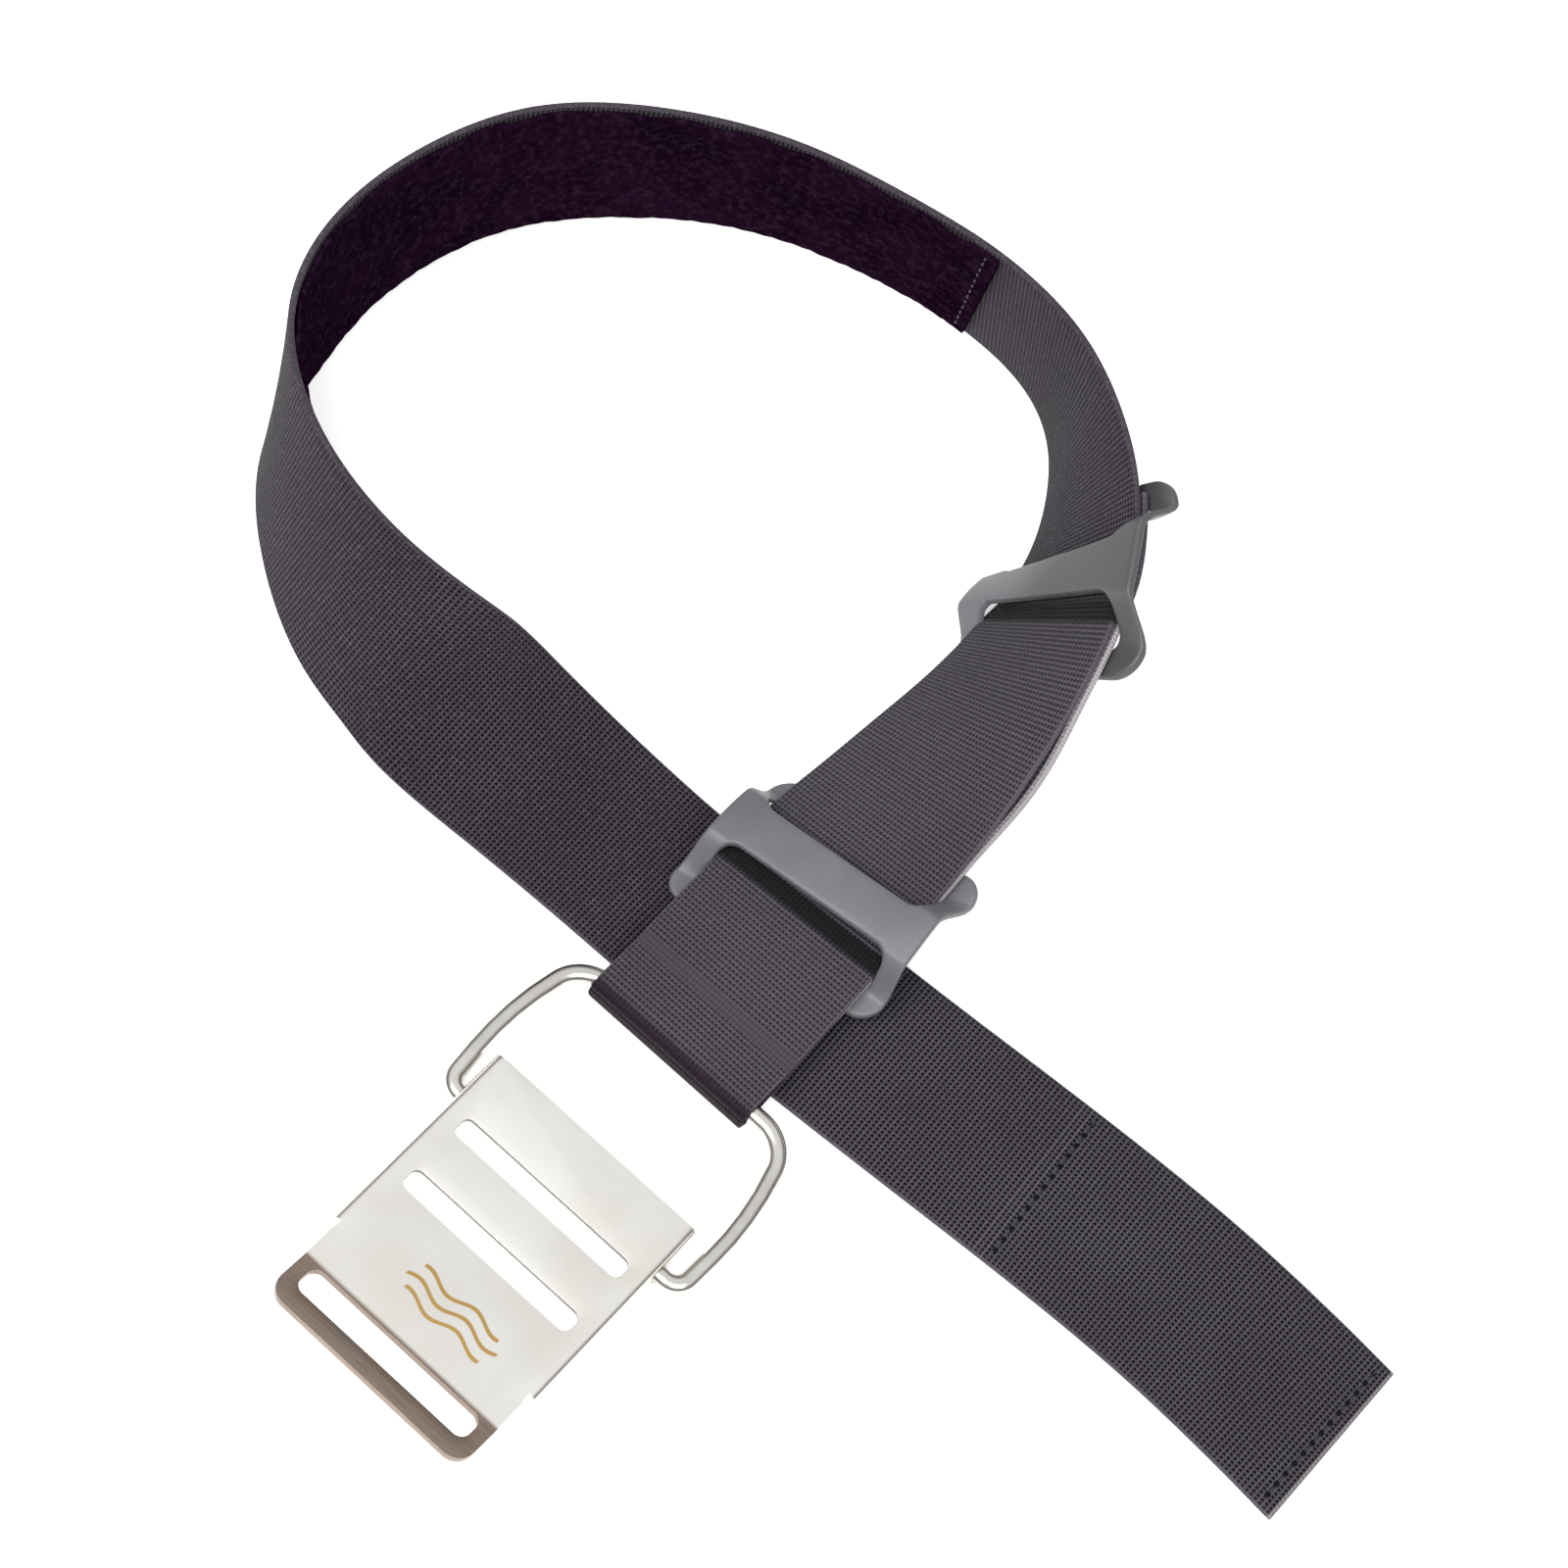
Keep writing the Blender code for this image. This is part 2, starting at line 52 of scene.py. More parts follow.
MM = 0.001
FLOOR_LIFT = 0.7
WEB_WIDTH = 50.0
WEB_THICK = 1.8
BAR_Y = 33.5
BAR_Z = 4.95
FOLD_RADIUS = 4.05
RETURN_DROP = 2.5
RETURN_GAPE = 2.6
RETURN_PAST_SLIDE = 19.0
RETURN_FLAT_Y = 62.0
FRONT_SLIDE_Y = 88.0
REAR_SLIDE_Y = 190.0
SLIDE_LENGTH = 46.0
BAR_DIP = 1.0
BAR_DIP_REACH = 8.0
HUMP_Y = 47.5
HUMP_HEIGHT = 0.35
HUMP_REACH = 3.2
TAIL_SKEW = 1.3
TAIL_SKEW_LENGTH = 25.0

# Centre line from the tail's end: x, y, z in millimetres, and lean in degrees (0 is outer face up,
# 90 stands on edge, 180 is inner face up).
STATIONS = (
    (177.5, 69.4, 2.7, 0),
    (139.0, 72.2, 2.7, 0),
    (100.5, 71.3, 2.75, 0),
    (62.0, 68.8, 2.5, 0),
    (24.0, 66.8, 1.0, 0),
    (-14.5, 65.0, 0.95, 0),
    (-53.0, 64.5, 1.3, 0),
    (-91.0, 62.2, 7.0, 13),
    (-110.3, 57.8, 18.2, 43),
    (-128.9, 56.9, 21.4, 54),
    (-146.9, 60.0, 23.6, 64),
    (-164.1, 66.4, 25.0, 73),
    (-180.4, 76.4, 25.5, 80),
    (-193.5, 90.8, 25.8, 88),
    (-201.0, 108.8, 25.8, 95),
    (-205.3, 128.0, 25.8, 95),
    (-205.3, 147.0, 25.8, 94),
    (-202.0, 166.3, 25.8, 93),
    (-195.0, 184.4, 25.8, 92),
    (-183.6, 200.0, 25.8, 90),
    (-169.8, 213.5, 25.9, 87),
    (-154.4, 224.9, 26.2, 84),
    (-137.0, 233.3, 26.9, 82),
    (-118.4, 238.4, 28.2, 80),
    (-99.5, 241.3, 30.2, 79),
    (-81.2, 242.2, 31.8, 80),
    (-62.7, 240.2, 33.0, 81),
    (-45.0, 233.0, 33.6, 87),
    (-30.0, 220.7, 32.4, 98),
    (-17.8, 205.2, 30.8, 111),
    (-10.5, 187.6, 29.0, 123),
    (-6.4, 169.1, 26.2, 132),
    (-4.2, 150.6, 22.7, 141),
    (-3.7, 132.0, 18.6, 151),
    (-3.7, 113.1, 15.0, 160),
    (-4.2, 94.3, 12.8, 170),
    (-3.8, 75.5, 11.2, 177),
    (-3.4, 57.0, 9.8, 180),
    (-3.2, 45.0, 9.0, 180),
    (-3.2, 33.5, 9.0, 180),
)


def place(x, y, z):
    """A point of the layout in millimetres, as a point of the object's own frame in metres."""
    return Vector(((x + 14.5) * MM, (y - 83.5) * MM, (z + FLOOR_LIFT) * MM))


def blend_stations(position):
    """A smooth curve through the stations, 0 at the first one and 1 more at each that follows."""
    last = len(STATIONS) - 1
    first = min(int(position), last - 1)
    t = position - first
    picks = [STATIONS[min(max(first + k, 0), last)] for k in (-1, 0, 1, 2)]
    return [
        0.5 * (2 * b + (c - a) * t + (2 * a - 5 * b + 4 * c - d) * t**2 + (3 * b - a - 3 * c + d) * t**3)
        for a, b, c, d in zip(*picks)
    ]


# The curve is drawn finely and then softened by averaging neighbours, as stiff webbing has no
# sharp turns.
FINE = 20
SOFTEN = 12
drawn = [blend_stations(k / FINE) for k in range((len(STATIONS) - 1) * FINE + 1)]
ROWS = []
for k in range(len(drawn)):
    reach = min(SOFTEN, k, len(drawn) - 1 - k)
    near = drawn[k - reach : k + reach + 1]
    ROWS.append([sum(values) / len(near) for values in zip(*near)])
REACHED = [0.0]
for before, after in zip(ROWS, ROWS[1:]):
    REACHED.append(REACHED[-1] + (Vector(after[:3]) - Vector(before[:3])).length)
STRAP_LENGTH = REACHED[-1]


def strap_values(distance):
    """Centre and lean at a distance along the strap."""
    distance = min(max(distance, 0.0), STRAP_LENGTH)
    k = min(max(bisect.bisect_right(REACHED, distance) - 1, 0), len(ROWS) - 2)
    t = (distance - REACHED[k]) / (REACHED[k + 1] - REACHED[k])
    return [a + (b - a) * t for a, b in zip(ROWS[k], ROWS[k + 1])]


def strap_frame(distance):
    """Centre, direction along, direction across and inner-face normal, in millimetres."""
    values = strap_values(distance)
    along = Vector(strap_values(distance + 3)[:3]) - Vector(strap_values(distance - 3)[:3])
    along.normalize()
    level = along.cross(Vector((0, 0, 1))).normalized()
    lean = math.radians(values[3])
    across = math.cos(lean) * level + math.sin(lean) * level.cross(along)
    return Vector(values[:3]), along, across, along.cross(across)


def distance_at_y(y):
    """How far along the strap it last passes y on its way to the bail."""
    for distance, row in zip(reversed(REACHED), reversed(ROWS)):
        if row[1] >= y:
            return distance
    return STRAP_LENGTH


FRONT_SLIDE_AT = distance_at_y(FRONT_SLIDE_Y)
REAR_SLIDE_AT = distance_at_y(REAR_SLIDE_Y)
FOLD_LENGTH = math.pi * FOLD_RADIUS
RETURN_END = STRAP_LENGTH - (REAR_SLIDE_AT - RETURN_PAST_SLIDE)
WEB_LENGTH = STRAP_LENGTH + FOLD_LENGTH + RETURN_END


def bar_dip(distance):
    """How far a slide's middle bar presses the webbing down."""
    gaps = [(distance - slide_at) / BAR_DIP_REACH for slide_at in (FRONT_SLIDE_AT, REAR_SLIDE_AT)]
    return BAR_DIP * sum(math.exp(-(gap**2)) for gap in gaps)


def between_slides(y):
    """0 at and beyond the slides, and 0 to 1 across the stretch between them."""
    reach = SLIDE_LENGTH / 2 + 2
    front, rear = FRONT_SLIDE_Y + reach, REAR_SLIDE_Y - reach
    return min(1.0, max(0.0, (y - front) / (rear - front)))


def web_frame(distance):
    """strap_frame for the whole webbing: the strap, then the fold, then the returned layer."""
    past = distance - STRAP_LENGTH
    if past <= 0:
        centre, along, across, inward = strap_frame(distance)
        hump = math.exp(-(((centre.y - HUMP_Y) / HUMP_REACH) ** 2)) if past > -60 else 0.0
        return centre - inward * (HUMP_HEIGHT * hump + bar_dip(distance)), along, across, inward
    if past <= FOLD_LENGTH:
        angle = past / FOLD_RADIUS
        out = Vector((0, -math.sin(angle), math.cos(angle)))
        centre = Vector((STATIONS[-1][0], BAR_Y, BAR_Z)) + out * FOLD_RADIUS
        return centre, Vector((0, -math.cos(angle), -math.sin(angle))), Vector((1, 0, 0)), out
    above = STRAP_LENGTH - (past - FOLD_LENGTH)
    centre, along, across, inward = strap_frame(above)
    gape = 0.5 * (RETURN_GAPE - RETURN_GAPE * math.cos(2 * math.pi * between_slides(centre.y)))
    if centre.y < RETURN_FLAT_Y:
        t = (centre.y - BAR_Y) / (RETURN_FLAT_Y - BAR_Y)
        low = BAR_Z - FOLD_RADIUS
        top = strap_frame(distance_at_y(RETURN_FLAT_Y))[0].z - RETURN_DROP
        centre = Vector((centre.x, centre.y, low + (top - low) * math.sin(math.pi / 2 * t)))
    else:
        centre = centre - inward * (RETURN_DROP + gape + 0.7 * bar_dip(above))
    return centre, -along, across, -inward


def new_object(name, bm, sharp=None):
    """Puts a finished bmesh into a smooth-shaded object at the origin."""
    bmesh.ops.recalc_face_normals(bm, faces=bm.faces)
    mesh = bpy.data.meshes.new(name)
    bm.to_mesh(mesh)
    bm.free()
    mesh.shade_smooth()
    if sharp:
        mesh.set_sharp_from_angle(angle=math.radians(sharp))
    made = bpy.data.objects.new(name, mesh)
    bpy.context.scene.collection.objects.link(made)
    return made


def tape_profile(width, thickness, columns, softness):
    """Closed cross section of a tape: (across, height), with rounded edges."""
    half, rise = width / 2, thickness / 2
    row = [-half + softness + (width - 2 * softness) * k / columns for k in range(columns + 1)]
    side = [(half - 0.3 * softness, 0.72 * rise), (half, 0.0), (half - 0.3 * softness, -0.72 * rise)]
    other = [(-x, -h) for x, h in side]
    return [(x, rise) for x in row] + side + [(x, -rise) for x in reversed(row)] + other


def loft_tape(name, distances, profile, spot):
    """A closed tape, each point given by spot(distance, across, height).

    Its UV map holds across and along in millimetres.
    """
    bm = bmesh.new()
    uv = bm.loops.layers.uv.new("weave")
    where = {}
    rings = []
    for distance in distances:
        ring = []
        for across, height in profile:
            vert = bm.verts.new(place(*spot(distance, across, height)))
            where[vert] = (across, distance)
            ring.append(vert)
        rings.append(ring)
    count = len(profile)
    for ring, after in zip(rings, rings[1:]):
        for k in range(count):
            bm.faces.new((ring[k], ring[(k + 1) % count], after[(k + 1) % count], after[k]))
    bm.faces.new(rings[0][::-1])
    bm.faces.new(rings[-1])
    for face in bm.faces:
        for loop in face.loops:
            loop[uv].uv = where[loop.vert]
    return new_object(name, bm, sharp=60)


def tail_skew(distance, across):
    """How far the tail's end is cut off square, fading out along the tail."""
    return TAIL_SKEW * across / (WEB_WIDTH / 2) * max(0.0, 1 - distance / TAIL_SKEW_LENGTH)


def web_spot(distance, across, height):
    centre, along, side, normal = web_frame(distance)
    return centre + side * across + normal * height + along * tail_skew(distance, across)


def even_steps(start, end, count):
    return [start + (end - start) * k / count for k in range(count + 1)]


webbing = loft_tape(
    "webbing",
    even_steps(0.0, WEB_LENGTH, 430),
    tape_profile(WEB_WIDTH, WEB_THICK, 14, 0.5),
    web_spot,
)


class Value:
    """A shader socket that takes part in arithmetic; each operator adds a Math node to its tree."""

    def __init__(self, tree, socket):
        self.tree = tree
        self.socket = socket

    def node(self, kind, settings=None, inputs=None, output=0):
        """Any other node, with its settings, its inputs by name or number, and the output to go on with."""
        made = self.tree.nodes.new(kind)
        for key, value in (settings or {}).items():
            setattr(made, key, value)
        for key, value in (inputs or {}).items():
            if isinstance(value, Value):
                self.tree.links.new(value.socket, made.inputs[key])
            else:
                made.inputs[key].default_value = value
        return Value(self.tree, made.outputs[output])

    def math(self, operation, *values):
        return self.node("ShaderNodeMath", {"operation": operation}, dict(enumerate(values)))

    def __add__(self, other):
        return self.math("ADD", self, other)

    def __sub__(self, other):
        return self.math("SUBTRACT", self, other)

    def __rsub__(self, other):
        return self.math("SUBTRACT", other, self)

    def __mul__(self, other):
        return self.math("MULTIPLY", self, other)

    def __truediv__(self, other):
        return self.math("DIVIDE", self, other)

    def __rtruediv__(self, other):
        return self.math("DIVIDE", other, self)

    def __pow__(self, other):
        return self.math("POWER", self, other)

    def __abs__(self):
        return self.math("ABSOLUTE", self)

    __radd__ = __add__
    __rmul__ = __mul__

    def wave(self, period, shift=0.0):
        """0 to 1 and back over each period, 1 at its start."""
        return self.math("COSINE", (self + shift) * (2 * math.pi / period)) * 0.5 + 0.5

    def largest(self, other):
        return self.math("MAXIMUM", self, other)

    def smallest(self, other):
        return self.math("MINIMUM", self, other)

    def step(self, low, high):
        """0 below low and 1 above high, smooth between; falls when low is above high."""
        flip = low > high
        inputs = {"Value": self, "From Min": min(low, high), "From Max": max(low, high)}
        inputs.update({"To Min": 1.0 if flip else 0.0, "To Max": 0.0 if flip else 1.0})
        return self.node("ShaderNodeMapRange", {"interpolation_type": "SMOOTHSTEP"}, inputs)

    def colour(self, low, high):
        """Mixes two colours, or colour sockets, by this value."""
        low, high = [end if isinstance(end, Value) else (*end, 1) for end in (low, high)]
        return self.node("ShaderNodeMix", {"data_type": "RGBA"}, {0: self, 6: low, 7: high}, output=2)

    def axes(self):
        """The three numbers of a vector."""
        split = self.node("ShaderNodeSeparateXYZ", {}, {0: self})
        return [Value(self.tree, socket) for socket in split.socket.node.outputs]


def new_material(name, roughness, metallic=0.0):
    """A Principled material; returns it, its shader node and a starting Value for making other nodes."""
    made = bpy.data.materials.new(name)
    made.use_nodes = True
    shader = made.node_tree.nodes["Principled BSDF"]
    shader.inputs["Roughness"].default_value = roughness
    shader.inputs["Metallic"].default_value = metallic
    return made, shader, Value(made.node_tree, None)


def set_input(shader, name, value):
    value.tree.links.new(value.socket, shader.inputs[name])


def set_bump(shader, start, height, distance, strength=1.0):
    """Feeds a height in 0 to 1 to the shader's normal, as relief of that depth in metres."""
    inputs = {"Height": height, "Distance": distance, "Strength": strength}
    set_input(shader, "Normal", start.node("ShaderNodeBump", {}, inputs))


def tape_coordinates(start):
    """Across and along in millimetres, from the piece's own UV map."""
    return start.node("ShaderNodeUVMap", {"uv_map": "weave"}).axes()[:2]


def object_coordinates(start):
    return start.node("ShaderNodeTexCoord", {}, {}, output=3)


def noise(start, scale, detail, roughness=0.5, vector=None):
    vector = vector or object_coordinates(start)
    inputs = {"Vector": vector, "Scale": scale, "Detail": detail, "Roughness": roughness}
    return start.node("ShaderNodeTexNoise", {}, inputs)


RIB_PITCH = 1.35
FLOAT_PITCH = 1.18
END_SEAM_AT = 4.0
INNER_SEAM_AT = 92.0
STITCH_PITCH = 3.5
SELVEDGE_PITCH = 0.9
BLACK = (0.002, 0.001, 0.002)
web_finish, web_shader, web = new_material("webbing_weave", 0.75)
web_shader.inputs["Sheen Weight"].default_value = 0.04
web_shader.inputs["Sheen Roughness"].default_value = 0.5
web_shader.inputs["Specular IOR Level"].default_value = 0.12
web_across, web_along = tape_coordinates(web)
rib = 1.0 - web_along.wave(RIB_PITCH)
float_bump = web_across.wave(FLOAT_PITCH)
selvedge = abs(web_across).step(24.1, 24.5)
weave = (rib ** 0.7) * (float_bump * 0.5 + 0.5)
selvedge_weave = web_along.wave(SELVEDGE_PITCH) * 0.4 + 0.5
height = web.node("ShaderNodeMix", {"data_type": "FLOAT"}, {0: selvedge, 2: weave, 3: selvedge_weave})
valley = 1.0 - rib
pits = (valley * (0.13 + 1.95 * (1.0 - float_bump) ** 1.2)).smallest(1.0) * (1.0 - selvedge * 0.6)
end_seam, inner_seam = [abs(web_along - seam_at).step(0.85, 0.45) for seam_at in (END_SEAM_AT, INNER_SEAM_AT)]
seams = end_seam.largest(inner_seam)
holes = seams * web_across.wave(STITCH_PITCH).step(0.55, 0.85) * abs(web_across).step(23.0, 22.5)
ridges = abs(abs(web_along - INNER_SEAM_AT - 3.1) - 1.2).step(0.35, 0.12)
worn = abs(web_along - (STRAP_LENGTH - 14.0)).step(2.6, 1.8)
patches = noise(web, 28.0, 3.0)
specks = noise(web, 900.0, 2.0)
past_rear_slide = web_along.step(REAR_SLIDE_AT - 12, REAR_SLIDE_AT + 12)
# The tail, the loop and the stretch past the rear slide get copies of one webbing colour; the loop's copy is
# darker, as painted shade on the stretch that stands on edge.
tail_tone = patches.step(0.3, 0.7).colour((0.070, 0.062, 0.076), (0.088, 0.079, 0.096))
loop_shade_tone = patches.step(0.3, 0.7).colour((0.050, 0.041, 0.054), (0.064, 0.053, 0.070))
inner_tone = patches.step(0.3, 0.7).colour((0.080, 0.071, 0.086), (0.096, 0.086, 0.103))
thread = past_rear_slide.colour(web_along.step(60.0, 300.0).colour(tail_tone, loop_shade_tone), inner_tone)
thread = (specks.step(0.45, 0.75) * 0.5).colour(thread, (0.125, 0.112, 0.136))
thread = (pits * (1.0 - past_rear_slide * 0.2)).colour(thread, (0.002, 0.001, 0.003))
thread = (ridges * 0.6).colour(thread, (0.105, 0.095, 0.112))
thread = (worn * 0.7).colour(thread, (0.046, 0.040, 0.050))
# Painted shade: the webbing is darkened to near black where it turns round the bail's bar and a little past
# it.
fold_shade = web_along.step(STRAP_LENGTH, STRAP_LENGTH + 3.0)
fold_shade = fold_shade * web_along.step(STRAP_LENGTH + 30, STRAP_LENGTH + 22)
thread = (fold_shade * 0.92).colour(thread, (0.012, 0.004, 0.009))
thread = holes.colour(thread, BLACK)
thread = web_along.step(1.2, 0.7).colour(thread, (0.22, 0.205, 0.21))
# Painted shadow: a near-black band across the webbing beside each slide's middle bar, where it runs in under
# the bar.
front_bar_shadow = abs(web_along - FRONT_SLIDE_AT - 8.4).step(3.4, 2.0)
rear_bar_shadow = abs(web_along - REAR_SLIDE_AT - 9.2).step(3.6, 2.2)
thread = (front_bar_shadow.largest(rear_bar_shadow) * 0.9).colour(thread, BLACK)
# Painted highlight: light grey strips along both edges of the returned layer, from past the fold to near the
# rear slide, stand for light caught on those edges.
returned = abs(web_across).step(23.0, 23.8) * web_along.step(STRAP_LENGTH + 40, STRAP_LENGTH + 50)
return_rear = 2 * STRAP_LENGTH + FOLD_LENGTH - REAR_SLIDE_AT
returned = returned * web_along.step(return_rear - 8, return_rear - 14)
thread = (returned * 0.85).colour(thread, (0.42, 0.40, 0.42))
set_input(web_shader, "Base Color", thread)
relief = (height * (1.0 - worn * 0.7) + ridges * 0.4).smallest(1.0 - holes)
set_bump(web_shader, web, relief, 0.0007)
webbing.data.materials.append(web_finish)
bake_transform(webbing)
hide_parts("webbing_tail", "webbing_band", "webbing_buckle_end")
WEB_LENGTH * MM

# ---------------------------------------------------------------------------------------------
# The loop tape: near-black brushed pile, 47 mm wide, sewn to the inner face round the back of the
# loop. Its upper edge is lightly puckered by the sewing, and its far end is cut at a slant.

PILE_START = 330.0
PILE_END = 616.0
PILE_WIDTH = 47.0
PILE_THICK = 1.5
PILE_END_SLANT = 4.5
PUCKER_DEPTH = 0.4
PUCKER_WANDER = 0.3
FUZZ_DEPTH = 0.16


def pile_spot(distance, across, height):
    """On the webbing's inner face, with the far end slanted and the upper edge puckered."""
    share = (distance - PILE_START) / (PILE_END - PILE_START)
    at = distance + across / (PILE_WIDTH / 2) * PILE_END_SLANT * share**8
    centre, along, side, normal = strap_frame(at)
    edge = max(0.0, (abs(across) - 17) / 6.5)
    upper = edge if across > 0 else 0.15 * edge
    pucker = PUCKER_DEPTH * upper * math.sin(at / 2.9) * (1 + 0.6 * math.sin(at / 7.3))
    wander = math.copysign(PUCKER_WANDER, across) * upper * math.sin(at / 4.1 + 1)
    lift = WEB_THICK / 2 + 0.15 + PILE_THICK / 2
    if across > 0:
        across *= 1 - 0.1 * min(1.0, max(0.0, (385 - distance) / 30))
    fuzz = math.sin(across * 3.1 + at * 1.7) * math.sin(across * 1.3 - at * 2.3) if height > 0 else 0
    rise = lift + height + FUZZ_DEPTH * fuzz + pucker
    return centre + side * (across + wander) + normal * rise


pile = loft_tape(
    "loop_pile",
    even_steps(PILE_START, PILE_END, 230),
    tape_profile(PILE_WIDTH, PILE_THICK, 36, 0.6),
    pile_spot,
)
pile_finish, pile_shader, nap = new_material("brushed_pile", 0.95)
pile_shader.inputs["Specular IOR Level"].default_value = 0.0
tufts = noise(nap, 480.0, 4.0, 0.7)
clouds = noise(nap, 60.0, 3.0)
nap_colour = clouds.step(0.35, 0.65).colour((0.0062, 0.0015, 0.0068), (0.0100, 0.0027, 0.0108))
nap_colour = (tufts.step(0.45, 0.70) * 0.8).colour(nap_colour, (0.024, 0.011, 0.026))
set_input(pile_shader, "Base Color", nap_colour)
set_bump(pile_shader, nap, tufts, 0.0006)
pile.data.materials.append(pile_finish)
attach(pile, "band")
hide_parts("loop_tape")

# ---------------------------------------------------------------------------------------------
# The hook tape: stiff black hook, 46 mm wide, sewn under the tail between the two cross seams,
# where it closes onto the pile.

HOOK_START = 1.0
HOOK_END = 95.0
HOOK_WIDTH = 46.0
HOOK_THICK = 1.3
HOOK_PITCH = 1.5


def hook_spot(distance, across, height):
    centre, along, side, normal = strap_frame(distance)
    lift = WEB_THICK / 2 + 0.1 + HOOK_THICK / 2 + height
    return centre + side * across + normal * lift + along * tail_skew(distance, across)


hooks = loft_tape(
    "hook_strip",
    even_steps(HOOK_START, HOOK_END, 40),
    tape_profile(HOOK_WIDTH, HOOK_THICK, 12, 0.4),
    hook_spot,
)
hook_finish, hook_shader, hook = new_material("hook_field", 0.6)
hook_across, hook_along = tape_coordinates(hook)
hook_points = hook_across.wave(HOOK_PITCH) * hook_along.wave(HOOK_PITCH)
hook_colour = hook_points.step(0.3, 0.7).colour((0.012, 0.012, 0.013), (0.035, 0.035, 0.037))
set_input(hook_shader, "Base Color", hook_colour)
set_bump(hook_shader, hook, hook_points, 0.0006)
hooks.data.materials.append(hook_finish)
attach(hooks, "tail")
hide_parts("hook_tape")

# ---------------------------------------------------------------------------------------------
# The cross seams: lock stitches of dark bonded thread, pulled down into the webbing at the tail's
# end and across the tail, and into the pile at both of its ends.

STITCH_HALF = (1.15, 0.34, 0.3)
STITCH_REACH = 21.7
thread_finish, thread_shader, twine = new_material("bonded_thread", 0.55)
twine_colour = noise(twine, 1500.0, 2.0).step(0.4, 0.7).colour((0.010, 0.009, 0.011), (0.026, 0.024, 0.029))
set_input(thread_shader, "Base Color", twine_colour)


def sew(name, spot, distance, height, body, node):
    """A row of short stitches across a tape, each a flattened bead of thread lying in the surface."""
    bm = bmesh.new()
    shape = Matrix.Diagonal([half * MM for half in STITCH_HALF] + [1])
    for k in range(-6, 7):
        across = min((k + 0.5) * STITCH_PITCH, STITCH_REACH)
        side = (spot(distance, across + 0.5, height) - spot(distance, across - 0.5, height)).normalized()
        along = (spot(distance + 0.5, across, height) - spot(distance - 0.5, across, height)).normalized()
        turn = Matrix((side, along, side.cross(along))).transposed().to_4x4()
        matrix = Matrix.Translation(place(*spot(distance, across, height))) @ turn @ shape
        bmesh.ops.create_uvsphere(bm, u_segments=10, v_segments=6, radius=1.0, matrix=matrix)
    made = new_object(name, bm)
    made.data.materials.append(thread_finish)
    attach(made, body)
    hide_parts(node)


outer_face = -WEB_THICK / 2 + 0.02
sew("tail_end_stitches", web_spot, END_SEAM_AT, outer_face, "tail", "hook_tape_end_seam")
sew("tail_inner_stitches", web_spot, INNER_SEAM_AT, outer_face, "tail", "hook_tape_inner_seam")
sew("pile_front_stitches", pile_spot, PILE_START + 3, PILE_THICK / 2, "band", "loop_tape_front_seam")
sew("pile_rear_stitches", pile_spot, PILE_END - 3.5, PILE_THICK / 2, "band", "loop_tape_rear_seam")

# ---------------------------------------------------------------------------------------------
# The two slides: matte dark grey acetal mouldings, each an arched frame of three bars. The webbing
# passes over the outer bars and under the raised middle bar, which grips it.

SLIDE_WIDTH = 63.0
SLIDE_THICK = 2.6
SLIDE_MIDDLE_BAR = 13.0
SLIDE_OUTER_BAR = 6.0
SLIDE_SLOT_WIDTH = 49.8
SLIDE_WAIST = 1.3
SLIDE_CORNER = 6.0
SLIDE_OVER = 2.6
SLIDE_UNDER = 0.9
SLIDE_CROWN = 0.35


def rounded_outline(corners, arc_step=9.0):
    """Points round a polygon of (x, y, radius) corners, with each corner an arc."""
    points = []
    count = len(corners)
    for k in range(count):
        x, y, radius = corners[k]
        here = Vector((x, y))
        if not radius:
            points.append(here)
            continue
        before = (Vector(corners[k - 1][:2]) - here).normalized()
        after = (Vector(corners[(k + 1) % count][:2]) - here).normalized()
        half = before.angle(after) / 2
        centre = here + (before + after).normalized() * radius / math.sin(half)
        start = here + before * radius / math.tan(half) - centre
        turn = start.angle_signed(here + after * radius / math.tan(half) - centre)
        pieces = max(3, math.ceil(abs(math.degrees(turn)) / arc_step))
        for step in range(pieces + 1):
            angle = -turn * step / pieces
            points.append(centre + Matrix.Rotation(angle, 2) @ start)
    return points


def rounded_rectangle(x, y, width, height, radius):
    w, h = width / 2, height / 2
    return rounded_outline(
        [(x - w, y - h, radius), (x + w, y - h, radius), (x + w, y + h, radius), (x - w, y + h, radius)]
    )


def flat_blank(outlines, thickness, rounding, cuts_x, cuts_y):
    """A flat plate, top face at 0, its rims rounded, cut along lines so that it can be bent."""
    bm = bmesh.new()
    edges = []
    for outline in outlines:
        verts = [bm.verts.new((point.x, point.y, 0)) for point in outline]
        edges += [bm.edges.new(pair) for pair in zip(verts, verts[1:] + verts[:1])]
    bmesh.ops.triangle_fill(bm, edges=edges, use_beauty=True, use_dissolve=False)
    grown = bmesh.ops.extrude_face_region(bm, geom=bm.faces[:])
    lower = [item for item in grown["geom"] if isinstance(item, bmesh.types.BMVert)]
    bmesh.ops.translate(bm, verts=lower, vec=(0, 0, -thickness))
    bmesh.ops.recalc_face_normals(bm, faces=bm.faces)
    rims = [
        edge for edge in bm.edges
        if len(edge.link_faces) == 2
        and edge.calc_face_angle() > 1.2
        and abs(edge.verts[0].co.z - edge.verts[1].co.z) < 0.01
    ]
    bmesh.ops.bevel(
        bm, geom=rims, offset=rounding, affect="EDGES", segments=3,
        profile=0.5, material=-1, clamp_overlap=True,
    )
    for axis, cuts in ((Vector((1, 0, 0)), cuts_x), (Vector((0, 1, 0)), cuts_y)):
        for cut in cuts:
            every = bm.verts[:] + bm.edges[:] + bm.faces[:]
            bmesh.ops.bisect_plane(bm, geom=every, dist=1e-4, plane_co=axis * cut, plane_no=axis)
    bmesh.ops.triangulate(bm, faces=[face for face in bm.faces if len(face.verts) > 4])
    return bm


